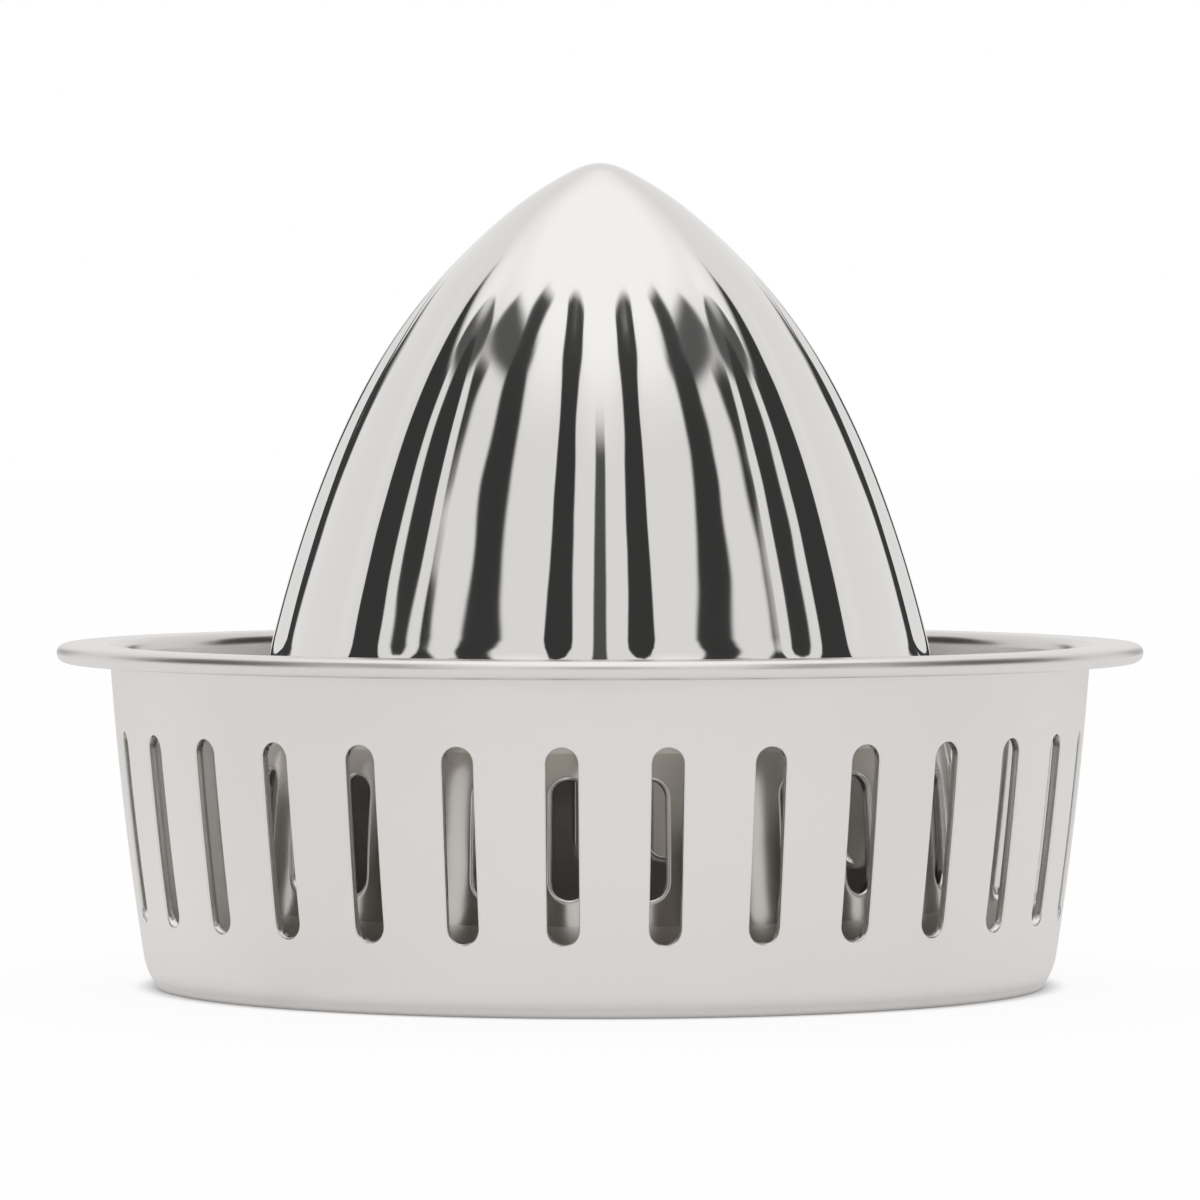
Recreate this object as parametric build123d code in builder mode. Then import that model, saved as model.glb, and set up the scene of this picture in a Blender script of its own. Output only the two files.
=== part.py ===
"""Jar citrus juicer lid pressed from one sheet: hemmed flange, slotted basket and ribbed reamer cone."""
import os
from math import atan2, cos, pi, radians, sin

from build123d import *

# Sheet and overall sizes in millimetres. The basket stands on z = 0 and the front faces -Y.
sheet = 0.7
rim_radius = 42.0
basket_depth = 26.5
overall_height = 63.6
front = -90.0

# Basket, from the rim inwards: the flange, the bulged wall's taper, its tucked bottom and the gutter.
flange_width = 4.1
hem_width = 2.9
flange_bend_radius = 1.0
wall_taper = 2.6
wall_bulge = 0.25
tuck_height = 2.5
tuck_width = 1.1
floor_edge_radius = 0.4
gutter_width = 6.4
foot_bend_radius = 1.6

wall_top_radius = rim_radius - flange_width
wall_tuck_radius = wall_top_radius - wall_taper
wall_mid_radius = (wall_top_radius + wall_tuck_radius) / 2 + wall_bulge
floor_radius = wall_tuck_radius - tuck_width
flange_under = basket_depth - sheet
hem_under = basket_depth - 2 * sheet
wall_lean = atan2(wall_taper, flange_under - tuck_height)

# Reamer cone: its outline as shares of the foot's radius and of the overall height.
cone_foot_radius = floor_radius - gutter_width
cone_outline = [
    (0.982, 0.259),
    (0.914, 0.417),
    (0.804, 0.579),
    (0.682, 0.706),
    (0.498, 0.833),
    (0.340, 0.907),
    (0.207, 0.956),
    (0.106, 0.984),
]

# Ribs: the crests lie on the outline, and the panels between them are sunk by a share of the radius.
# The panels begin just under the rim's level and fade out in the dome.
rib_count = 8
rib_points = 8
rib_half_angle = 11.25
rib_relief = 0.038
rib_foot = basket_depth - 2.4
rib_full = rib_foot + 2.7
rib_fade = overall_height - 14.6
rib_end = overall_height - 3.1

# Sections of the cone: even steps up the foot, the band where the panels sink in and the crown,
# and two more in the crown's last step, at these shares of it from the tip.
foot_sections = 5
band_sections = 5
crown_sections = 14
tip_shares = [0.6, 0.3]

# Slots in the wall, and shorter ones in the foot of the cone, which are one fewer.
slot_width = 2.6
slot_base = 5.32
slot_top_gap = 6.38
slot_length = basket_depth - slot_base - slot_top_gap
slot_height = slot_base + slot_length / 2
slot_count = 30
slot_phase = -4.5
cone_slot_length = slot_length - 6.0
cone_slot_count = slot_count - 1
cone_slot_phase = -4.8


def ease(value, low, high):
    """Smooth step from 0 at low to 1 at high."""
    share = min(max((value - low) / (high - low), 0), 1)
    return share * share * (3 - 2 * share)


def panel_sink(height):
    """Depth of the panels at a height, as a share of the radius."""
    return rib_relief * ease(height, rib_foot, rib_full) * (1 - ease(height, rib_fade, rib_end))


def ribbed_section(radius, height, sink):
    """Closed outline round the cone at one height, with the rib crests at the radius."""
    steps = rib_count * rib_points
    points = []
    for step in range(steps):
        ribs_passed = step / rib_points
        off_crest = abs(ribs_passed - round(ribs_passed)) * 360 / rib_count
        reach = radius * (1 - sink * (1 - cos(pi * min(off_crest / rib_half_angle, 1))) / 2)
        bearing = radians(front + ribs_passed * 360 / rib_count)
        points.append(Vector(reach * cos(bearing), reach * sin(bearing)))
    with BuildSketch(Plane.XY.offset(height)) as section:
        with BuildLine():
            add(Edge.make_spline(
                points, periodic=True, parameters=[step / steps for step in range(steps + 1)]
            ))
        make_face()
    return section.sketch


def place_at(curve, height):
    """Share of the way along the cone's outline at which it reaches a height."""
    low, high = 0.0, 1.0
    while high - low > 1e-6:
        middle = (low + high) / 2
        low, high = (middle, high) if (curve @ middle).Y < height else (low, middle)
    return low


def cone_solid(inset):
    """Solid inside the cone's outer skin, or inside the skin set in from it by the sheet."""
    with BuildLine() as outline:
        Spline(
            (cone_foot_radius, 0),
            *((out * cone_foot_radius, up * overall_height) for out, up in cone_outline),
            (0, overall_height),
            tangents=((0, 1), (-1, 0)),
        )
    curve = outline.line

    def sections(low, high, count, shares=()):
        places = [low + (high - low) * step / count for step in range(count)]
        places += [high - (high - low) / count * share for share in shares]
        return [
            ribbed_section(
                (curve @ place).X - inset * (curve % place).Y,
                (curve @ place).Y + inset * (curve % place).X,
                panel_sink((curve @ place).Y),
            )
            for place in places
        ]

    panel_foot = place_at(curve, rib_foot)
    panel_full = place_at(curve, rib_full)
    foot = sections(0, panel_foot, foot_sections)
    band = sections(panel_foot, panel_full, band_sections)
    crown = sections(panel_full, 1, crown_sections, tip_shares)
    with BuildPart() as skin:
        loft([*foot, band[0]])
        loft([*band, crown[0]])
        loft([*crown, Vertex(0, 0, overall_height - inset)])
    return skin.part


def rings_at(height):
    """Level edges of the lid at a height, shortest first."""
    level = juicer_lid.edges().filter_by_position(Axis.Z, height - 0.01, height + 0.01)
    return level.sort_by(SortBy.LENGTH)


def slot_planes(count, phase, radius, lean):
    """Planes facing out at the bearings of a row of slots, leaning down by an angle."""
    planes = []
    for slot in range(count):
        bearing = radians(front + phase + slot * 360 / count)
        out = Vector(cos(bearing), sin(bearing), 0)
        planes.append(Plane(
            origin=out * radius + Vector(0, 0, slot_height),
            x_dir=(-out.Y, out.X, 0),
            z_dir=out * cos(lean) - Vector(0, 0, sin(lean)),
        ))
    return planes


with BuildPart() as juicer_lid:
    # Outside of the basket with its hemmed flange.
    with BuildSketch(Plane.XZ):
        with BuildLine():
            wall = ThreePointArc(
                (wall_top_radius, flange_under),
                (wall_mid_radius, (flange_under + tuck_height) / 2),
                (wall_tuck_radius, tuck_height),
            )
            tuck = TangentArc(wall @ 1, (floor_radius, 0), tangent=wall % 1)
            Polyline(tuck @ 1, (0, 0), (0, basket_depth), (rim_radius - sheet, basket_depth))
            ThreePointArc(
                (rim_radius - sheet, basket_depth),
                (rim_radius, flange_under),
                (rim_radius - sheet, hem_under),
            )
            Polyline(
                (rim_radius - sheet, hem_under),
                (rim_radius - hem_width, hem_under),
                (rim_radius - hem_width, flange_under),
                wall @ 0,
            )
        make_face()
    revolve(axis=Axis.Z)

    # Inside of the basket, one sheet in from the outside.
    with BuildSketch(Plane.XZ):
        with BuildLine():
            wall = ThreePointArc(
                (wall_top_radius - sheet, basket_depth),
                (wall_mid_radius - sheet, (flange_under + tuck_height) / 2),
                (wall_tuck_radius - sheet, tuck_height),
            )
            tuck = TangentArc(wall @ 1, (floor_radius - 0.6 * sheet, sheet), tangent=wall % 1)
            Polyline(tuck @ 1, (0, sheet), (0, basket_depth), wall @ 0)
        make_face()
    revolve(axis=Axis.Z, mode=Mode.SUBTRACT)

    # Ribbed cone: the outer skin is added and the inside of the sheet taken away.
    add(cone_solid(0))
    add(cone_solid(sheet), mode=Mode.SUBTRACT)

    # Bend at the cone's foot: a cove in the gutter that bites a little into the cone, round underneath.
    cove_radius = cone_foot_radius + foot_bend_radius - sheet / 20
    with BuildSketch(Plane.XZ):
        with BuildLine():
            cove = CenterArc((cove_radius, sheet + foot_bend_radius), foot_bend_radius, 180, 90)
            Polyline(
                cove @ 1,
                (cove_radius, sheet / 2),
                (cone_foot_radius - sheet / 2, sheet / 2),
                (cone_foot_radius - sheet / 2, sheet + foot_bend_radius),
                cove @ 0,
            )
        make_face()
    revolve(axis=Axis.Z)
    fillet(rings_at(0)[0], foot_bend_radius + sheet)

    # Edge under the floor and mouth of the basket.
    fillet(rings_at(0)[-1], floor_edge_radius)
    fillet(rings_at(basket_depth)[0], flange_bend_radius)

    # Slots through the wall, square to its slope, and level ones through the foot of the cone.
    with BuildSketch(*slot_planes(slot_count, slot_phase, wall_mid_radius, wall_lean)):
        SlotOverall(slot_length, slot_width, rotation=90)
    extrude(amount=2 * sheet, both=True, mode=Mode.SUBTRACT)
    with BuildSketch(*slot_planes(cone_slot_count, cone_slot_phase, cone_foot_radius, 0)):
        SlotOverall(cone_slot_length, slot_width, rotation=90)
    extrude(amount=3 * sheet, both=True, mode=Mode.SUBTRACT)

juicer_lid.part.label = "juicer_lid"
os.makedirs("parts", exist_ok=True)
export_step(juicer_lid.part, "parts/juicer_lid.step")
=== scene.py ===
"""Dressed model of a jar citrus juicer lid: one pressed steel sheet with satin and polished zones.

The sheet is one closed mesh. Its outline is carried round the axis in rings, and two bands of
it, the basket's wall and the cone's foot, are divided into sectors with a slot in each.
Sizes are in millimetres and become metres when the mesh is made.
"""

import logging
from dataclasses import dataclass, field
from enum import Enum
from typing import Callable

import bmesh
import bpy
import numpy as np
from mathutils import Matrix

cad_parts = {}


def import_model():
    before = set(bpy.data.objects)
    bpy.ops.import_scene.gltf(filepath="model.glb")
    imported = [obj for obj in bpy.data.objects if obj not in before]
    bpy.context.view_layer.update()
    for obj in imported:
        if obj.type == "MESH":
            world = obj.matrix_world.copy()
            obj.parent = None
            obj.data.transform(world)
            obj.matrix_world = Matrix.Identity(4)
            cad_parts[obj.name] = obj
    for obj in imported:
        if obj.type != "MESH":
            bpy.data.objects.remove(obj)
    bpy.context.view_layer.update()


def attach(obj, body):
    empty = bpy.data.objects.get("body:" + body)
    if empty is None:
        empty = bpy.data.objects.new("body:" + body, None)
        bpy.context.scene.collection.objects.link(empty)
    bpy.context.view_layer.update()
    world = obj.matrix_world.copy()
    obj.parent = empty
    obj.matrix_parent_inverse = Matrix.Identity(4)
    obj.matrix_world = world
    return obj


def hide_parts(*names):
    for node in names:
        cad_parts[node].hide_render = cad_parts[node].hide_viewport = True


log = logging.getLogger("juicer_lid")

METRES = 0.001
FRONT = -90.0
IMAGE_SIDE = 1200
WELD_DISTANCE = 2e-6
SLIVER_LENGTH = 1e-7
SHARP_ANGLE = 42.0


class Zone(Enum):
    """Places on the sheet that have a finish of their own, numbered as the mesh's material slots."""

    WALL = 0
    CONE = 1
    INSIDE = 2
    CUT = 3
    RIM = 4
    FOOT = 5


def arc(centre: tuple[float, float], radius: float, start: float, end: float, steps: int) -> np.ndarray:
    """Points on a circle: centre plus the radius times cosine and sine of an evenly stepped angle.

    Args:
        centre: Radius and height of the circle's centre.
        radius: Its radius.
        start: First angle in degrees.
        end: Last angle in degrees.
        steps: Number of steps between them.

    Returns:
        Points as rows of radius and height.
    """
    angle = np.radians(np.linspace(start, end, steps + 1))
    return np.stack([centre[0] + radius * np.cos(angle), centre[1] + radius * np.sin(angle)], axis=1)


def straight(start: tuple[float, float], end: tuple[float, float], steps: int) -> np.ndarray:
    """Evenly spaced points from one place in the section to another.

    Args:
        start: Radius and height of the first point.
        end: Radius and height of the last point.
        steps: Number of steps between them.

    Returns:
        Points as rows of radius and height.
    """
    return np.linspace(start, end, steps + 1)


def joined(*runs: np.ndarray) -> np.ndarray:
    """Runs of the outline end to end, with each shared end kept once.

    Args:
        runs: Rows of radius and height, each starting where the last one ends.

    Returns:
        One array of rows.
    """
    return np.concatenate([runs[0]] + [run[1:] for run in runs[1:]])


def smooth_step(value: np.ndarray, low: float, high: float) -> np.ndarray:
    """Rise from 0 at low to 1 at high: share squared times three less twice the share.

    Args:
        value: Where to read it.
        low: Start of the rise.
        high: End of the rise.

    Returns:
        Values from 0 to 1.
    """
    share = np.clip((value - low) / (high - low), 0.0, 1.0)
    return share * share * (3.0 - 2.0 * share)


def curve_through(points: np.ndarray, start: tuple[float, float], end: tuple[float, float],
                  samples: int) -> np.ndarray:
    """Smooth curve through points: a cubic in each span, with slopes that keep the bend continuous.

    The slopes solve the usual row per inner point, where the two neighbouring cubics have the
    same second derivative; the first and last slopes are given.

    Args:
        points: Rows of radius and height.
        start: Direction at the first point.
        end: Direction at the last point.
        samples: Number of points wanted.

    Returns:
        Rows of radius and height, evenly spaced along the chords.
    """
    span = np.linalg.norm(np.diff(points, axis=0), axis=1)
    knot = np.concatenate([[0.0], np.cumsum(span)])
    count = len(points)
    system = np.eye(count)
    wanted = np.zeros((count, 2))
    wanted[0], wanted[-1] = start, end
    inner = np.arange(1, count - 1)
    before, after = span[:-1], span[1:]
    system[inner, inner - 1] = after
    system[inner, inner] = 2.0 * (before + after)
    system[inner, inner + 1] = before
    rise = np.diff(points, axis=0) / span[:, None]
    wanted[inner] = 3.0 * (after[:, None] * rise[:-1] + before[:, None] * rise[1:])
    slope = np.linalg.solve(system, wanted)

    place = np.linspace(0.0, knot[-1], samples)
    piece = np.clip(np.searchsorted(knot, place, side="right") - 1, 0, count - 2)
    width = span[piece][:, None]
    t = ((place - knot[piece]) / span[piece])[:, None]
    return ((1 + 2 * t) * (1 - t) ** 2 * points[piece] + t * (1 - t) ** 2 * width * slope[piece]
            + t * t * (3 - 2 * t) * points[piece + 1] + t * t * (t - 1) * width * slope[piece + 1])


@dataclass
class SheetMesh:
    """Collects the lid's grids of points and makes one closed mesh of them."""

    points: list[np.ndarray] = field(default_factory=list)
    faces: list[list[int]] = field(default_factory=list)
    zones: list[int] = field(default_factory=list)
    count: int = 0

    def keep(self, points: np.ndarray, faces: np.ndarray, zone: Zone) -> None:
        """Stores points, and faces that count from the first of them.

        Args:
            points: Points in millimetres, with the axis last.
            faces: Rows of point numbers.
            zone: Finish of the faces.
        """
        self.points.append(points.reshape(-1, 3) * METRES)
        self.faces += (self.count + faces).tolist()
        self.zones += [zone.value] * len(faces)
        self.count += points.size // 3

    def add(self, grid: np.ndarray, zone: Zone) -> None:
        """Adds closed rings, each joined to the next by quads.

        Args:
            grid: Points in millimetres, by patch, ring, step round the ring and axis.
            zone: Finish of the faces.
        """
        patches, rings, steps, _ = grid.shape
        index = np.arange(patches * rings * steps).reshape(patches, rings, steps)
        after = np.roll(index, -1, axis=2)
        quads = np.stack([index[:, :-1], after[:, :-1], after[:, 1:], index[:, 1:]], axis=-1)
        self.keep(grid, quads.reshape(-1, 4), zone)

    def zip_rings(self, near: np.ndarray, far: np.ndarray, zone: Zone) -> None:
        """Joins two rings round the axis whose points don't pair up.

        Every step along either ring makes one triangle, with the last point passed on the other.

        Args:
            near: Points of one ring.
            far: Points of the other ring.
            zone: Finish of the faces.
        """
        bearing = [np.arctan2(ring[:, 1], ring[:, 0]) for ring in (near, far)]
        order = [np.argsort(turn) for turn in bearing]
        near_turn, far_turn = (turn[row] for turn, row in zip(bearing, order))
        near_row, far_row = order[0], order[1] + len(near)
        passed_far = far_row[np.searchsorted(far_turn, near_turn, side="left") - 1]
        passed_near = near_row[np.searchsorted(near_turn, far_turn, side="right") - 1]
        along_near = np.stack([np.roll(near_row, 1), near_row, passed_far], axis=1)
        along_far = np.stack([passed_near, far_row, np.roll(far_row, 1)], axis=1)
        self.keep(np.concatenate([near, far]), np.concatenate([along_near, along_far]), zone)

    def build(self, name: str, materials: list[bpy.types.Material]) -> bpy.types.Object:
        """Welds the grids into one object whose faces point out.

        Args:
            name: Name of the piece.
            materials: One material per zone, in the zones' order.

        Returns:
            The finished object, at the origin.
        """
        mesh = bpy.data.meshes.new(name)
        mesh.from_pydata(np.concatenate(self.points), [], self.faces)
        for material in materials:
            mesh.materials.append(material)
        mesh.polygons.foreach_set("material_index", np.array(self.zones, dtype=np.int32))
        work = bmesh.new()
        work.from_mesh(mesh)
        bmesh.ops.remove_doubles(work, verts=work.verts, dist=WELD_DISTANCE)
        bmesh.ops.dissolve_degenerate(work, edges=work.edges, dist=SLIVER_LENGTH)
        bmesh.ops.recalc_face_normals(work, faces=work.faces)
        open_edges = sum(1 for edge in work.edges if len(edge.link_faces) != 2)
        work.to_mesh(mesh)
        work.free()
        mesh.polygons.foreach_set("use_smooth", np.ones(len(mesh.polygons), dtype=bool))
        mesh.set_sharp_from_angle(angle=np.radians(SHARP_ANGLE))
        mesh.update()
        piece = bpy.data.objects.new(name, mesh)
        bpy.context.collection.objects.link(piece)
        mesh.calc_loop_triangles()
        log.info("%s: %d triangles, %d open edges", name, len(mesh.loop_triangles), open_edges)
        return piece


@dataclass
class SlotRow:
    """One slot in every sector of a band of the sheet, with rolled edges.

    Each sector is a grid of rings round its slot: the slot's outline grown by an offset, blended
    step by step into the sector's four-sided edge.
    """

    count: int
    phase: float
    width: float
    length: float
    height: float
    band: tuple[float, float]
    roll: float
    inner_roll: float
    rise: float
    across: int = 8
    corner: int = 4
    along: int = 8

    def bearings(self) -> np.ndarray:
        """Bearings in degrees of the points on every ring round the axis."""
        step = 360.0 / (self.count * self.across)
        return FRONT + self.phase - 180.0 / self.count + step * np.arange(self.count * self.across)

    def slot_outline(self, offset: float) -> np.ndarray:
        """Slot outline grown by an offset: two half circles joined by straight sides.

        Args:
            offset: Growth of the outline.

        Returns:
            Rows of distance across and height above the slot's centre, anticlockwise from the right.
        """
        half = (self.length - self.width) / 2.0
        radius = self.width / 2.0 + offset
        eighth = np.linspace(0.0, 45.0, self.corner + 1)
        quarter = np.linspace(45.0, 135.0, self.across + 1)
        angle = np.radians(np.concatenate([eighth, quarter[1:], 180.0 - eighth[::-1][1:]]))
        top = np.stack([radius * np.cos(angle), half + radius * np.sin(angle)], axis=1)
        side = np.linspace(half, -half, self.along + 1)[1:-1]
        left = np.stack([np.full_like(side, -radius), side], axis=1)
        return np.concatenate([top, left, -top, -left])

    def sector_edge(self) -> np.ndarray:
        """Edge of a sector, with as many points as the slot's outline.

        Returns:
            Rows of angle from the sector's middle in degrees and height, in the same order.
        """
        half = (self.length - self.width) / 2.0
        reach = 180.0 / self.count
        low, high = self.band
        up = np.linspace(self.height + half, high, self.corner + 1)
        down = np.linspace(self.height - half, low, self.corner + 1)
        side = np.linspace(self.height + half, self.height - half, self.along + 1)[1:-1]
        turn = np.linspace(reach, -reach, self.across + 1)
        top = np.stack([turn, np.full_like(turn, high)], axis=1)
        bottom = np.stack([-turn, np.full_like(turn, low)], axis=1)

        def upright(angle: float, heights: np.ndarray) -> np.ndarray:
            """Points at one angle and several heights."""
            return np.stack([np.full_like(heights, angle), heights], axis=1)

        return np.concatenate([
            upright(reach, up[:-1]), top, upright(-reach, up[:-1][::-1]),
            upright(-reach, side),
            upright(-reach, down[:-1]), bottom, upright(reach, down[:-1][::-1]),
            upright(reach, side[::-1]),
        ])

    def placed(self, angle: np.ndarray, radius: np.ndarray, height: np.ndarray) -> np.ndarray:
        """Points of one sector repeated in all of them.

        Args:
            angle: Angle from the sector's middle in degrees.
            radius: Distance from the axis.
            height: Height, each of the three by ring and step.

        Returns:
            Points by sector, ring, step and axis.
        """
        middle = FRONT + self.phase + 360.0 / self.count * np.arange(self.count)
        turn = np.radians(middle[:, None, None] + angle[None])
        flat = np.broadcast_to(height[None], turn.shape)
        return np.stack([radius[None] * np.cos(turn), radius[None] * np.sin(turn), flat], axis=-1)

    def skin(self, radius_at: Callable[[np.ndarray], np.ndarray], offset: float, rise: float,
             shares: tuple[float, ...]) -> np.ndarray:
        """Sheet round every slot, from the rolled edge out to the sector's edge.

        Args:
            radius_at: Radius of this side of the sheet at a height.
            offset: Distance from the slot's outline to where the flat sheet begins.
            rise: How far this side's slot stands above the outer side's.
            shares: Ring places, from 0 at the slot to 1 at the sector's edge.

        Returns:
            Points by sector, ring, step and axis.
        """
        outline = self.slot_outline(offset)
        height = self.height + rise + outline[:, 1]
        near = np.stack([np.degrees(np.arcsin(outline[:, 0] / radius_at(height))), height], axis=1)
        share = np.array(shares)[:, None, None]
        ring = near[None] * (1.0 - share) + self.sector_edge()[None] * share
        return self.placed(ring[..., 0], radius_at(ring[..., 1]), ring[..., 1])

    def cut(self, outer: Callable[[np.ndarray], np.ndarray],
            inner: Callable[[np.ndarray], np.ndarray], sheet: float) -> np.ndarray:
        """Cut edge of every slot: a quarter round at the outside, straight through, a small round inside.

        Args:
            outer: Radius of the sheet's outside at a height.
            inner: Radius of its inside.
            sheet: Its gauge.

        Returns:
            Points by sector, ring, step and axis.
        """
        turn = np.radians(np.linspace(0.0, 90.0, 4))
        back = np.radians(np.linspace(0.0, 90.0, 3))
        offset = np.concatenate([self.roll * (1 - np.sin(turn)), self.inner_roll * (1 - np.cos(back))])
        depth = np.concatenate([
            self.roll * (1 - np.cos(turn)), sheet - self.inner_roll * (1 - np.sin(back)),
        ]) / sheet
        rows = np.stack([self.slot_outline(grown) for grown in offset])
        height = self.height + rows[..., 1]
        share = depth[:, None]
        radius = (1 - share) * outer(height) + share * inner(height + self.rise)
        angle = np.degrees(np.arcsin(rows[..., 0] / radius))
        return self.placed(angle, radius, height + share * self.rise)


@dataclass
class ReamerCone:
    """Ribbed cone: an outline carried round the axis with its panels sunk between eight ribs."""

    sheet: float = 0.7
    height: float = 63.6
    foot_radius: float = 27.8
    outline: tuple[tuple[float, float], ...] = (
        (0.982, 0.259), (0.914, 0.417), (0.804, 0.579), (0.682, 0.706),
        (0.498, 0.833), (0.340, 0.907), (0.207, 0.956), (0.106, 0.984),
    )
    ribs: int = 8
    half_angle: float = 11.25
    crest_round: float = 1.2
    relief: float = 0.034
    panel_foot: tuple[float, float] = (24.1, 26.8)
    panel_fade: tuple[float, float] = (49.0, 60.5)
    samples: int = 6000

    def __post_init__(self) -> None:
        """Samples the outline, given as shares of foot radius and height, and sets it in by the sheet."""
        points = np.array([(1.0, 0.0), *self.outline, (0.0, 1.0)]) * (self.foot_radius, self.height)
        self.outer = curve_through(points, (0.0, 1.0), (-1.0, 0.0), self.samples)
        along = np.gradient(self.outer, axis=0)
        along /= np.linalg.norm(along, axis=1)[:, None]
        self.inner = self.outer + self.sheet * np.stack([-along[:, 1], along[:, 0]], axis=1)

    def outer_radius(self, height: np.ndarray) -> np.ndarray:
        """Radius of the plain outside at a height."""
        return np.interp(height, self.outer[:, 1], self.outer[:, 0])

    def inner_radius(self, height: np.ndarray) -> np.ndarray:
        """Radius of the plain inside at a height."""
        return np.interp(height, self.inner[:, 1], self.inner[:, 0])

    def sink(self, height: np.ndarray) -> np.ndarray:
        """Depth of the panels as a share of the radius: it rises at their foot and fades at the dome."""
        rise = smooth_step(height, *self.panel_foot)
        return self.relief * rise * (1.0 - smooth_step(height, *self.panel_fade))

    def ribbed(self, curve: np.ndarray, level: np.ndarray, bearings: np.ndarray) -> np.ndarray:
        """Rings of the ribbed skin: radius times one less the sink times a raised cosine off each crest.

        The cosine's angle is half a turn times the share of the flank passed, to a power that rounds
        the crest.

        Args:
            curve: Rows of radius and height of the skin's outline.
            level: Height on the outside that each row belongs to, which sets the sink.
            bearings: Bearings in degrees of the points round the axis.

        Returns:
            Points by patch, ring, step and axis.
        """
        pitch = 360.0 / self.ribs
        off_crest = np.abs((bearings - FRONT + pitch / 2) % pitch - pitch / 2)
        flank = np.minimum(off_crest / self.half_angle, 1.0) ** self.crest_round
        hollow = (1.0 - np.cos(np.pi * flank)) / 2.0
        radius = curve[:, :1] * (1.0 - self.sink(level)[:, None] * hollow[None])
        turn = np.radians(bearings)
        flat = np.broadcast_to(curve[:, 1:], radius.shape)
        return np.stack([radius * np.cos(turn), radius * np.sin(turn), flat], axis=-1)[None]

    def crown(self, start: float, rings: int, inside: bool, bearings: np.ndarray) -> np.ndarray:
        """Ribbed skin from a height up to the tip, in even steps along the outline.

        Args:
            start: Height of the first ring on this side of the sheet.
            rings: Number of rings.
            inside: Whether the skin is the inner one.
            bearings: Bearings of the points round the axis.

        Returns:
            Points by patch, ring, step and axis.
        """
        curve = self.inner if inside else self.outer
        first = np.interp(start, curve[:, 1], np.arange(self.samples))
        place = np.linspace(first, self.samples - 1, rings)
        index = np.arange(self.samples)
        chosen = np.stack([np.interp(place, index, column) for column in curve.T], axis=1)
        chosen[-1, 0] = 0.0
        return self.ribbed(chosen, np.interp(place, index, self.outer[:, 1]), bearings)


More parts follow.
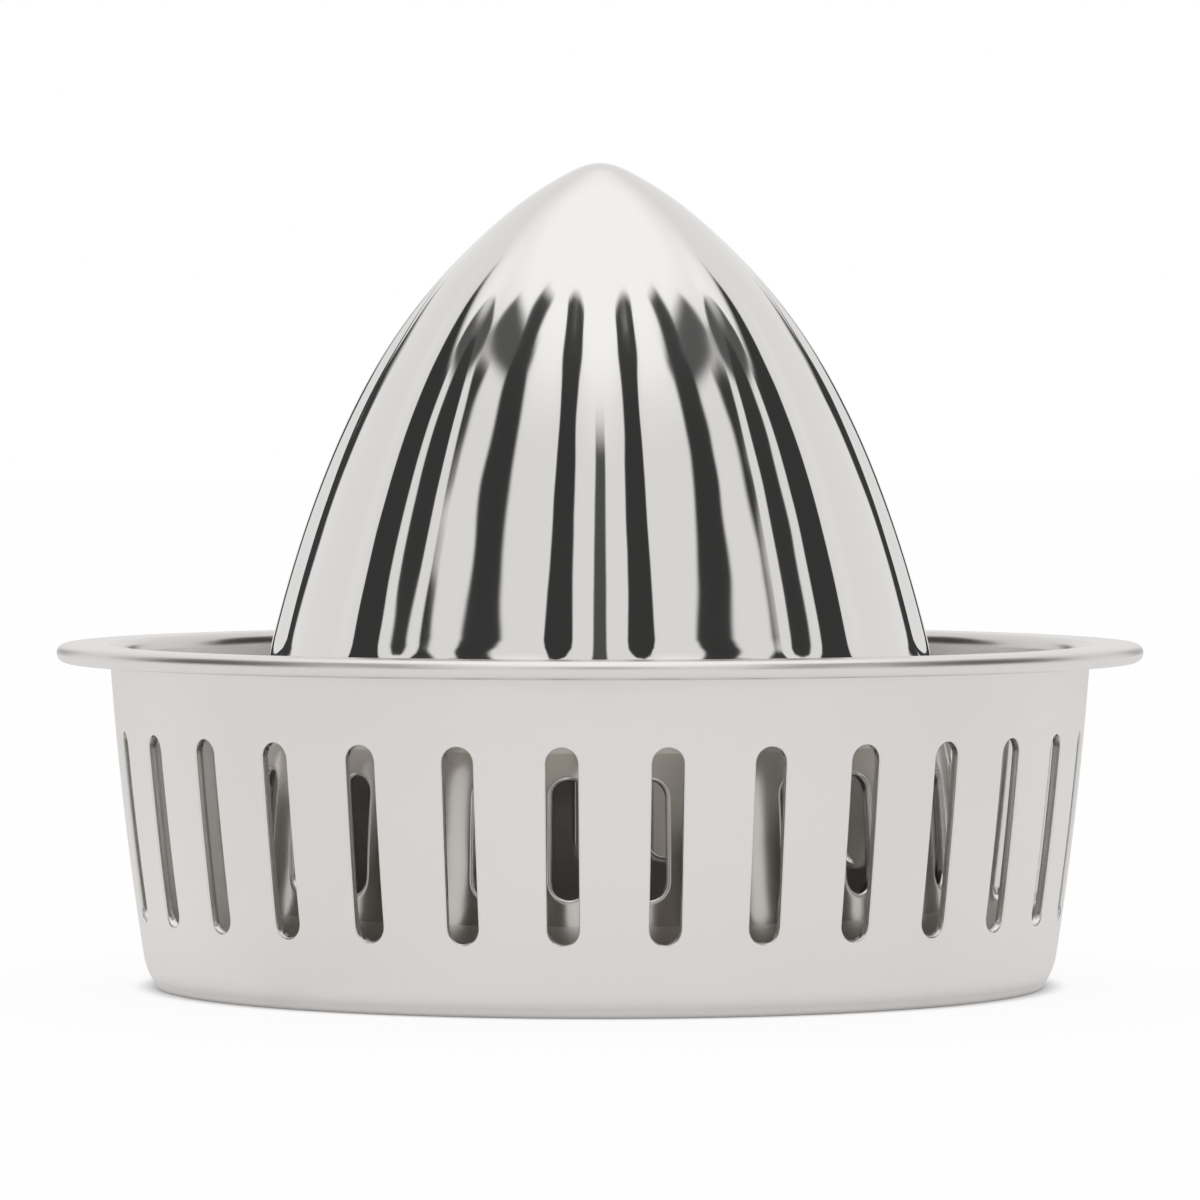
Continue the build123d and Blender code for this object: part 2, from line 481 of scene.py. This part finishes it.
@dataclass
class StrainerBasket:
    """Basket: bulged wall, tucked bottom, floor ring and the flange that is folded back into a hem."""

    sheet: float = 0.7
    rim_radius: float = 41.98
    depth: float = 26.5
    top_radius: float = 37.9
    mid_radius: float = 36.85
    tuck_radius: float = 35.3
    tuck_height: float = 2.5
    floor_radius: float = 34.2
    floor_edge: float = 0.4
    mouth_bend: float = 1.0
    hem_width: float = 2.9
    corner_bend: float = 0.35
    foot_bend: float = 1.6
    tuck_inset: float = 0.6

    def __post_init__(self) -> None:
        """Finds the circles of the wall's outside and inside."""
        under = self.depth - self.sheet
        middle = (under + self.tuck_height) / 2.0
        self.outer_circle = self.circle(
            (self.top_radius, under), (self.mid_radius, middle), (self.tuck_radius, self.tuck_height))
        self.inner_circle = self.circle(
            (self.top_radius - self.sheet, self.depth), (self.mid_radius - self.sheet, middle),
            (self.tuck_radius - self.sheet, self.tuck_height))

    @staticmethod
    def circle(*points: tuple[float, float]) -> tuple[float, float, float]:
        """Circle through three points: its centre is as far from each of them.

        Args:
            points: Three places as radius and height.

        Returns:
            Radius and height of the centre, and the circle's radius.
        """
        place = np.array(points)
        rows = 2.0 * (place[1:] - place[0])
        centre = np.linalg.solve(rows, (place[1:] ** 2).sum(axis=1) - (place[0] ** 2).sum())
        return centre[0], centre[1], float(np.linalg.norm(place[0] - centre))

    def outer_radius(self, height: np.ndarray) -> np.ndarray:
        """Radius of the wall's outside at a height, on its circle."""
        across, up, radius = self.outer_circle
        return across + np.sqrt(radius ** 2 - (height - up) ** 2)

    def inner_radius(self, height: np.ndarray) -> np.ndarray:
        """Radius of the wall's inside at a height, on its circle."""
        across, up, radius = self.inner_circle
        return across + np.sqrt(radius ** 2 - (height - up) ** 2)

    def wall_run(self, radius_at: Callable[[np.ndarray], np.ndarray], start: float, end: float,
                 steps: int) -> np.ndarray:
        """Run of the wall's section between two heights, as rows of radius and height."""
        height = np.linspace(start, end, steps + 1)
        return np.stack([radius_at(height), height], axis=1)

    def tuck(self, inside: bool, steps: int) -> np.ndarray:
        """Arc that leaves the wall's foot along the wall and ends on the floor.

        Args:
            inside: Whether it is the inner side's arc.
            steps: Number of steps.

        Returns:
            Rows of radius and height from the wall down.
        """
        across, up, _ = self.inner_circle if inside else self.outer_circle
        start = np.array([self.tuck_radius - (self.sheet if inside else 0.0), self.tuck_height])
        end = np.array([self.floor_radius, 0.0])
        if inside:
            end = np.array([self.floor_radius - self.tuck_inset * self.sheet, self.sheet])
        normal = np.array([across, up]) - start
        normal /= np.linalg.norm(normal)
        chord = end - start
        radius = chord @ chord / (2.0 * (chord @ normal))
        centre = start + radius * normal
        first = np.degrees(np.arctan2(*(start - centre)[::-1]))
        last = np.degrees(np.arctan2(*(end - centre)[::-1]))
        return arc(tuple(centre), radius, first, last, steps)

    def gutter(self, cone: ReamerCone, cone_height: float,
               wall_height: float) -> tuple[np.ndarray, np.ndarray]:
        """Section of the gutter: down the cone's foot, round the cove, over the floor and up the wall.

        Args:
            cone: The cone that stands in the basket.
            cone_height: Height on the cone where it starts.
            wall_height: Height on the wall where it ends.

        Returns:
            Rows of radius and height on the cone's side of the floor, and on the wall's side.
        """
        cove_height = self.sheet + self.foot_bend
        cone_run = self.wall_run(cone.outer_radius, cone_height, cove_height, 3)
        cove = arc((cone_run[-1, 0] + self.foot_bend, cove_height), self.foot_bend, 180.0, 270.0, 7)
        tuck = self.tuck(True, 7)[::-1]
        floor = straight(cove[-1], tuck[0], 3)
        wall = self.wall_run(self.inner_radius, self.tuck_height, wall_height, 2)
        return joined(cone_run, cove, floor[:2]), joined(floor[2:], tuck, wall)

    def mouth(self, wall_height: float) -> np.ndarray:
        """Section of the wall's inside above the slots and its bend out to the flange's flat top.

        Args:
            wall_height: Height on the wall where it starts.

        Returns:
            Rows of radius and height.
        """
        bend_height = self.depth - self.mouth_bend
        centre = float(self.inner_radius(np.array(bend_height))) + self.mouth_bend
        wall = self.wall_run(self.inner_radius, wall_height, bend_height, 3)
        return joined(wall, arc((centre, bend_height), self.mouth_bend, 180.0, 90.0, 8))

    def flange(self) -> np.ndarray:
        """Section of the flange: flat top, full round edge and the hem folded back under it.

        Returns:
            Rows of radius and height, from the mouth's bend to the corner under the flange.
        """
        under = self.depth - self.sheet
        low = under - self.sheet
        bend_height = self.depth - self.mouth_bend
        start = float(self.inner_radius(np.array(bend_height))) + self.mouth_bend
        edge = self.rim_radius - self.sheet
        hem = self.rim_radius - self.hem_width
        nip = self.sheet / 4.0
        top = straight((start, self.depth), (edge, self.depth), 6)
        fold = arc((edge, under), self.sheet, 90.0, -90.0, 14)
        lower = straight((edge, low), (hem + nip, low), 3)
        lip = arc((hem + nip, low + nip), nip, 270.0, 180.0, 3)
        inside = straight((hem, low + nip), (hem, under), 1)
        return joined(top, fold, lower, lip, inside)

    def shoulder(self, wall_height: float) -> np.ndarray:
        """Section from the hem along the flange's underside and round the corner down the wall.

        Args:
            wall_height: Height on the wall where it ends.

        Returns:
            Rows of radius and height.
        """
        under = self.depth - self.sheet
        corner_height = under - self.corner_bend
        wall_radius = float(self.outer_radius(np.array(corner_height)))
        bend = arc((wall_radius + self.corner_bend, corner_height), self.corner_bend, 90.0, 180.0, 4)
        flat = straight((self.rim_radius - self.hem_width, under), bend[0], 1)
        wall = self.wall_run(self.outer_radius, corner_height, wall_height, 3)
        return joined(flat, bend, wall)

    def bottom(self, cone: ReamerCone, wall_height: float,
               cone_height: float) -> tuple[np.ndarray, np.ndarray]:
        """Section under the lid: wall's foot, tuck, floor and the round bend up into the cone.

        Args:
            cone: The cone that stands in the basket.
            wall_height: Height on the wall where it starts.
            cone_height: Height inside the cone where it ends.

        Returns:
            Rows of radius and height on the wall's side of the floor, and on the cone's side.
        """
        wall = self.wall_run(self.outer_radius, wall_height, self.tuck_height, 2)
        tuck = self.tuck(False, 10)
        tuck = tuck[tuck[:, 1] > self.floor_edge]
        edge = arc((tuck[-1, 0] - self.floor_edge, self.floor_edge), self.floor_edge, 0.0, -90.0, 5)[1:]
        bend_radius = self.foot_bend + self.sheet
        cone_run = self.wall_run(cone.inner_radius, bend_radius, cone_height, 3)
        bend = arc((cone_run[0, 0] + bend_radius, bend_radius), bend_radius, 270.0, 180.0, 8)
        floor = straight(edge[-1], bend[0], 3)
        return joined(wall, np.concatenate([tuck, edge]), floor[:2]), joined(floor[2:], bend, cone_run)


@dataclass
class JuicerLid:
    """The whole lid: the cone, the basket and their two rows of slots in one sheet."""

    cone: ReamerCone = field(default_factory=ReamerCone)
    basket: StrainerBasket = field(default_factory=StrainerBasket)
    slots: int = 30
    slot_phase: float = -4.3
    slot_length: float = 14.8
    windows: int = 29
    window_phase: float = -4.8
    window_length: float = 8.8
    slot_width: float = 2.6
    slot_height: float = 12.72
    slot_margin: float = 2.0
    slot_roll: tuple[float, float] = (0.12, 0.10)
    window_roll: tuple[float, float] = (0.30, 0.12)
    ring_shares: tuple[float, ...] = (0.0, 0.07, 0.3, 1.0)
    ring_shares_inside: tuple[float, ...] = (0.0, 0.2, 1.0)
    crown_rings: int = 90
    crown_rings_inside: int = 26

    def band(self, length: float) -> tuple[float, float]:
        """Lowest and highest level of the band that holds a row of slots of a length."""
        half = length / 2.0 + self.slot_margin
        return self.slot_height - half, self.slot_height + half

    def wall_row(self) -> SlotRow:
        """Row of long slots in the basket's wall, square to its slope and full size at the outside.

        Returns:
            The row.
        """
        basket = self.basket
        drop = basket.depth - basket.sheet - basket.tuck_height
        lean = (basket.top_radius - basket.tuck_radius) / drop
        roll, inner_roll = self.slot_roll
        return SlotRow(
            count=self.slots, phase=self.slot_phase,
            width=self.slot_width - 2 * roll, length=self.slot_length - 2 * roll,
            height=self.slot_height, band=self.band(self.slot_length),
            roll=roll, inner_roll=inner_roll, rise=basket.sheet * float(np.sin(np.arctan(lean))),
            across=8, along=8,
        )

    def foot_row(self) -> SlotRow:
        """Row of short slots in the cone's foot.

        Returns:
            The row.
        """
        roll, inner_roll = self.window_roll
        return SlotRow(
            count=self.windows, phase=self.window_phase, width=self.slot_width, length=self.window_length,
            height=self.slot_height, band=self.band(self.window_length),
            roll=roll, inner_roll=inner_roll, rise=0.0, across=10, along=6,
        )

    @staticmethod
    def turned(section: np.ndarray, bearings: np.ndarray) -> np.ndarray:
        """Section carried round the axis: radius times cosine and sine of the bearing, and height.

        Args:
            section: Rows of radius and height.
            bearings: Bearings in degrees.

        Returns:
            Points by patch, ring, step and axis.
        """
        turn = np.radians(bearings)
        radius = section[:, :1]
        flat = np.broadcast_to(section[:, 1:], (len(section), len(turn)))
        return np.stack([radius * np.cos(turn), radius * np.sin(turn), flat], axis=-1)[None]

    def build(self, materials: list[bpy.types.Material]) -> bpy.types.Object:
        """Makes the lid's one mesh.

        Args:
            materials: One material per zone, in the zones' order.

        Returns:
            The finished piece.
        """
        cone, basket = self.cone, self.basket
        wall, foot = self.wall_row(), self.foot_row()
        round_wall, round_cone = wall.bearings(), foot.bearings()
        shares, shares_inside = self.ring_shares, self.ring_shares_inside

        sheet = SheetMesh()
        sheet.add(cone.crown(foot.band[1], self.crown_rings, False, round_cone), Zone.CONE)
        sheet.add(foot.skin(cone.outer_radius, foot.roll, 0.0, shares), Zone.FOOT)
        sheet.add(foot.cut(cone.outer_radius, cone.inner_radius, cone.sheet), Zone.CUT)
        sheet.add(foot.skin(cone.inner_radius, foot.inner_roll, foot.rise, shares_inside), Zone.INSIDE)
        sheet.add(cone.crown(foot.band[1], self.crown_rings_inside, True, round_cone), Zone.INSIDE)
        sheet.add(wall.skin(basket.inner_radius, wall.inner_roll, wall.rise, shares_inside), Zone.INSIDE)
        sheet.add(wall.cut(basket.outer_radius, basket.inner_radius, basket.sheet), Zone.CUT)
        sheet.add(wall.skin(basket.outer_radius, wall.roll, 0.0, shares), Zone.WALL)
        sheet.add(self.turned(basket.mouth(wall.band[1]), round_wall), Zone.INSIDE)
        sheet.add(self.turned(basket.flange(), round_wall), Zone.RIM)
        sheet.add(self.turned(basket.shoulder(wall.band[1]), round_wall), Zone.WALL)

        near, far = basket.gutter(cone, foot.band[0], wall.band[0])
        cone_side, wall_side = self.turned(near, round_cone), self.turned(far, round_wall)
        sheet.add(cone_side, Zone.INSIDE)
        sheet.zip_rings(cone_side[0, -1], wall_side[0, 0], Zone.INSIDE)
        sheet.add(wall_side, Zone.INSIDE)
        near, far = basket.bottom(cone, wall.band[0], foot.band[0])
        wall_side, cone_side = self.turned(near, round_wall), self.turned(far, round_cone)
        sheet.add(wall_side, Zone.WALL)
        sheet.zip_rings(wall_side[0, -1], cone_side[0, 0], Zone.WALL)
        sheet.add(cone_side, Zone.INSIDE)
        return sheet.build("lid_sheet", materials)


@dataclass(frozen=True)
class SteelFinish:
    """One finish of the steel: its colour and roughness, its polishing lines and its shallow waves."""

    name: str
    colour: tuple[float, float, float]
    roughness: float
    roughness_swing: float
    line_depth: float
    line_scale: float
    anisotropy: float
    wave_depth: float
    anisotropy_turn: float = 0.25
    line_stretch: float = 0.02
    line_detail: float = 3.0
    wave_scale: float = 75.0
    wave_detail: float = 1.5
    cloud_scale: float = 90.0
    cloud_detail: float = 4.0

    def material(self) -> bpy.types.Material:
        """Node material whose polishing lines run round the axis.

        Returns:
            The material.
        """
        made = bpy.data.materials.new(self.name)
        made.use_nodes = True
        nodes, links = made.node_tree.nodes, made.node_tree.links
        shader = nodes["Principled BSDF"]
        shader.inputs["Metallic"].default_value = 1.0
        shader.inputs["Base Color"].default_value = (*self.colour, 1.0)
        shader.inputs["Anisotropic"].default_value = self.anisotropy
        shader.inputs["Anisotropic Rotation"].default_value = self.anisotropy_turn
        round_axis = nodes.new("ShaderNodeTangent")
        round_axis.direction_type = "RADIAL"
        round_axis.axis = "Z"
        links.new(round_axis.outputs["Tangent"], shader.inputs["Tangent"])

        place = nodes.new("ShaderNodeTexCoord")
        split = nodes.new("ShaderNodeSeparateXYZ")
        links.new(place.outputs["Object"], split.inputs[0])
        flat = nodes.new("ShaderNodeCombineXYZ")
        links.new(split.outputs["X"], flat.inputs["X"])
        links.new(split.outputs["Y"], flat.inputs["Y"])
        reach = nodes.new("ShaderNodeVectorMath")
        reach.operation = "LENGTH"
        links.new(flat.outputs[0], reach.inputs[0])
        run = nodes.new("ShaderNodeMath")
        run.operation = "SUBTRACT"
        links.new(split.outputs["Z"], run.inputs[0])
        links.new(reach.outputs["Value"], run.inputs[1])
        spread = nodes.new("ShaderNodeCombineXYZ")
        for axis in ("X", "Y"):
            slow = nodes.new("ShaderNodeMath")
            slow.operation = "MULTIPLY"
            slow.inputs[1].default_value = self.line_stretch
            links.new(split.outputs[axis], slow.inputs[0])
            links.new(slow.outputs[0], spread.inputs[axis])
        links.new(run.outputs[0], spread.inputs["Z"])

        lines = nodes.new("ShaderNodeTexNoise")
        lines.inputs["Scale"].default_value = self.line_scale
        lines.inputs["Detail"].default_value = self.line_detail
        links.new(spread.outputs[0], lines.inputs["Vector"])
        bump = nodes.new("ShaderNodeBump")
        bump.inputs["Strength"].default_value = 1.0
        bump.inputs["Distance"].default_value = self.line_depth
        links.new(lines.outputs["Fac"], bump.inputs["Height"])
        links.new(bump.outputs["Normal"], shader.inputs["Normal"])
        waves = nodes.new("ShaderNodeTexNoise")
        waves.inputs["Scale"].default_value = self.wave_scale
        waves.inputs["Detail"].default_value = self.wave_detail
        links.new(place.outputs["Object"], waves.inputs["Vector"])
        swell = nodes.new("ShaderNodeBump")
        swell.inputs["Strength"].default_value = 1.0
        swell.inputs["Distance"].default_value = self.wave_depth
        links.new(waves.outputs["Fac"], swell.inputs["Height"])
        links.new(swell.outputs["Normal"], bump.inputs["Normal"])

        cloud = nodes.new("ShaderNodeTexNoise")
        cloud.inputs["Scale"].default_value = self.cloud_scale
        cloud.inputs["Detail"].default_value = self.cloud_detail
        links.new(place.outputs["Object"], cloud.inputs["Vector"])
        rough = nodes.new("ShaderNodeMapRange")
        rough.inputs["To Min"].default_value = self.roughness - self.roughness_swing
        rough.inputs["To Max"].default_value = self.roughness + self.roughness_swing
        links.new(cloud.outputs["Fac"], rough.inputs["Value"])
        links.new(rough.outputs["Result"], shader.inputs["Roughness"])
        return made


# Name, colour, roughness and its swing, depth and scale of the lines, anisotropy, depth of the waves.
FINISHES = {
    Zone.WALL: SteelFinish("satin_wall", (0.835, 0.81, 0.795), 0.42, 0.05, 1.2e-6, 5200.0, 0.0, 1.0e-4),
    Zone.CONE: SteelFinish("polished_cone", (0.745, 0.732, 0.715), 0.07, 0.03, 1.0e-7, 6000.0, 0.8, 2.6e-4),
    Zone.INSIDE: SteelFinish("inside_sheet", (0.66, 0.635, 0.61), 0.24, 0.05, 6.0e-7, 5200.0, 0.3, 4.0e-4),
    Zone.CUT: SteelFinish("rolled_edge", (0.72, 0.705, 0.685), 0.24, 0.05, 1.5e-6, 2600.0, 0.0, 1.0e-4),
    Zone.RIM: SteelFinish("rim", (0.77, 0.75, 0.735), 0.34, 0.04, 6.0e-7, 5200.0, 0.0, 1.0e-4),
    Zone.FOOT: SteelFinish("cone_foot", (0.58, 0.555, 0.53), 0.17, 0.06, 8.0e-7, 4200.0, 0.3, 5.0e-4),
}


@dataclass(frozen=True)
class DarkPanel:
    """A dark gap between the studio's white panels, on both sides alike.

    It runs between two bearings off the camera and two heights, in degrees, with soft edges. Its bearings
    hold at 30 degrees up and lean outwards from there by a share of the height.
    """

    start: float
    end: float
    low: float
    high: float
    soft: float
    fade: float
    lean: float
    level: float


@dataclass
class Studio:
    """White tent with dark gaps, pale floor and the camera at the photograph's place."""

    camera_distance: float = 0.640
    camera_height: float = 0.0473
    aim_height: float = 0.0298
    pixels_per_metre: float = 12920.0
    sensor: float = 36.0
    view_end: float = 10.0
    tent_level: float = 0.90
    tent_rise: float = 0.28
    tent_rise_heights: tuple[float, float] = (40.0, 66.0)
    lean_from: float = 30.0
    floor_half_side: float = 3.0
    floor_grey: float = 0.86
    floor_glow: float = 1.05
    glow_to_camera: float = 0.85
    glow_to_metal: float = 0.6
    glow_clear_of_lid: tuple[float, float] = (0.0335, 0.0365)
    # Start and end bearing, low and high, softness at the sides and at the ends, lean, level.
    panels: tuple[DarkPanel, ...] = (
        DarkPanel(-8.0, 8.0, 20.0, 48.0, 1.5, 4.0, 0.0, 0.10),
        DarkPanel(41.0, 55.5, 12.0, 67.0, 1.2, 2.5, 0.5, 0.05),
        DarkPanel(71.0, 122.0, 8.0, 47.5, 1.5, 3.0, 0.43, 0.05),
        DarkPanel(52.0, 90.0, 48.5, 58.0, 1.5, 2.0, 0.0, 0.10),
        DarkPanel(152.0, 162.0, -2.0, 14.0, 1.0, 2.0, 0.0, 0.05),
    )

    def math(self, tree: bpy.types.NodeTree, operation: str,
             *values: float | bpy.types.NodeSocket) -> bpy.types.NodeSocket:
        """Adds one sum to a node tree.

        Args:
            tree: The tree.
            operation: Blender's name for the sum.
            values: Sockets or numbers that go in.

        Returns:
            The socket with the answer.
        """
        node = tree.nodes.new("ShaderNodeMath")
        node.operation = operation
        for slot, value in zip(node.inputs, values):
            if isinstance(value, bpy.types.NodeSocket):
                tree.links.new(value, slot)
            else:
                slot.default_value = value
        return node.outputs[0]

    def ramp(self, tree: bpy.types.NodeTree, value: bpy.types.NodeSocket, low: float,
             high: float) -> bpy.types.NodeSocket:
        """Adds a smooth rise from 0 at low to 1 at high.

        Args:
            tree: The tree.
            value: Socket that is read.
            low: Start of the rise.
            high: End of the rise.

        Returns:
            The socket with the rise.
        """
        node = tree.nodes.new("ShaderNodeMapRange")
        node.interpolation_type = "SMOOTHSTEP"
        node.inputs["From Min"].default_value = low
        node.inputs["From Max"].default_value = high
        tree.links.new(value, node.inputs["Value"])
        return node.outputs["Result"]

    def light_world(self) -> None:
        """Lights the scene from all round, with the dark gaps cut out of the white."""
        world = bpy.data.worlds.new("studio_tent")
        bpy.context.scene.world = world
        world.use_nodes = True
        tree = world.node_tree
        place = tree.nodes.new("ShaderNodeTexCoord")
        split = tree.nodes.new("ShaderNodeSeparateXYZ")
        tree.links.new(place.outputs["Generated"], split.inputs[0])
        toward = self.math(tree, "MULTIPLY", split.outputs["Y"], -1.0)
        bearing = self.math(tree, "ARCTAN2", split.outputs["X"], toward)
        bearing = self.math(tree, "DEGREES", self.math(tree, "ABSOLUTE", bearing))
        height = self.math(tree, "DEGREES", self.math(tree, "ARCSINE", split.outputs["Z"]))
        rise = self.ramp(tree, height, *self.tent_rise_heights)
        level = self.math(tree, "ADD", self.math(tree, "MULTIPLY", rise, self.tent_rise), self.tent_level)
        shade: float | bpy.types.NodeSocket = 1.0
        for panel in self.panels:
            above_lean = self.math(tree, "SUBTRACT", height, self.lean_from)
            shift = self.math(tree, "MULTIPLY", above_lean, panel.lean)
            upright = self.math(tree, "SUBTRACT", bearing, shift)
            into = self.ramp(tree, upright, panel.start - panel.soft, panel.start + panel.soft)
            out = self.ramp(tree, upright, panel.end - panel.soft, panel.end + panel.soft)
            over = self.ramp(tree, height, panel.low - panel.fade, panel.low + panel.fade)
            above = self.ramp(tree, height, panel.high - panel.fade, panel.high + panel.fade)
            across = self.math(tree, "SUBTRACT", into, out)
            dark = self.math(tree, "MULTIPLY", across, self.math(tree, "SUBTRACT", over, above))
            kept = self.math(tree, "SUBTRACT", 1.0, self.math(tree, "MULTIPLY", dark, 1.0 - panel.level))
            shade = self.math(tree, "MINIMUM", shade, kept)
        level = self.math(tree, "MULTIPLY", level, shade)
        path = tree.nodes.new("ShaderNodeLightPath")
        seen = self.math(tree, "MAXIMUM", level, path.outputs["Is Camera Ray"])
        background = tree.nodes["Background"]
        background.inputs["Color"].default_value = (1.0, 1.0, 1.0, 1.0)
        tree.links.new(seen, background.inputs["Strength"])

    def lay_floor(self) -> bpy.types.Object:
        """Pale floor that looks white to the camera, keeps the lid's shadow and is plain under the lid.

        Returns:
            The floor.
        """
        mesh = bpy.data.meshes.new("floor")
        side = self.floor_half_side
        corner = np.array([(-side, -side, 0.0), (side, -side, 0.0), (side, side, 0.0), (-side, side, 0.0)])
        mesh.from_pydata(corner, [], [(0, 1, 2, 3)])
        made = bpy.data.materials.new("pale_floor")
        made.use_nodes = True
        nodes, links = made.node_tree.nodes, made.node_tree.links
        nodes.remove(nodes["Principled BSDF"])
        matte = nodes.new("ShaderNodeBsdfDiffuse")
        matte.inputs["Color"].default_value = (*[self.floor_grey] * 3, 1.0)
        white = nodes.new("ShaderNodeEmission")
        path = nodes.new("ShaderNodeLightPath")
        tree = made.node_tree
        straight_on = self.math(tree, "MULTIPLY", path.outputs["Is Camera Ray"], self.glow_to_camera)
        mirrored = self.math(tree, "MULTIPLY", path.outputs["Is Glossy Ray"], self.glow_to_metal)
        place = nodes.new("ShaderNodeTexCoord")
        reach = nodes.new("ShaderNodeVectorMath")
        reach.operation = "LENGTH"
        links.new(place.outputs["Object"], reach.inputs[0])
        clear = self.ramp(tree, reach.outputs["Value"], *self.glow_clear_of_lid)
        white.inputs["Strength"].default_value = self.floor_glow
        share = self.math(tree, "MULTIPLY", self.math(tree, "MAXIMUM", straight_on, mirrored), clear)
        blend = nodes.new("ShaderNodeMixShader")
        links.new(share, blend.inputs["Fac"])
        links.new(matte.outputs[0], blend.inputs[1])
        links.new(white.outputs[0], blend.inputs[2])
        links.new(blend.outputs[0], nodes["Material Output"].inputs["Surface"])
        mesh.materials.append(made)
        floor = bpy.data.objects.new("floor", mesh)
        bpy.context.collection.objects.link(floor)
        return floor

    def set_camera(self) -> None:
        """Puts the camera where the photograph was taken from, a little above the lid."""
        data = bpy.data.cameras.new("camera")
        reach = np.hypot(self.camera_distance, self.camera_height - self.aim_height)
        data.lens = self.pixels_per_metre * reach / IMAGE_SIDE * self.sensor
        data.sensor_width = self.sensor
        data.clip_end = self.view_end
        camera = bpy.data.objects.new("camera", data)
        camera.location = (0.0, -self.camera_distance, self.camera_height)
        pitch = np.arctan2(self.camera_height - self.aim_height, self.camera_distance)
        camera.rotation_euler = (np.pi / 2.0 - pitch, 0.0, 0.0)
        bpy.context.collection.objects.link(camera)
        bpy.context.scene.camera = camera


def main() -> None:
    """Loads the frame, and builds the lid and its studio."""
    logging.basicConfig(level=logging.INFO, format="%(name)s: %(message)s")
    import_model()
    materials = [FINISHES[zone].material() for zone in Zone]
    lid = JuicerLid().build(materials)
    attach(lid, "root")
    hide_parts("juicer_lid")

    studio = Studio()
    studio.light_world()
    studio.lay_floor()
    studio.set_camera()
    bpy.context.scene.view_settings.view_transform = "Standard"


if __name__ == "__main__":
    main()
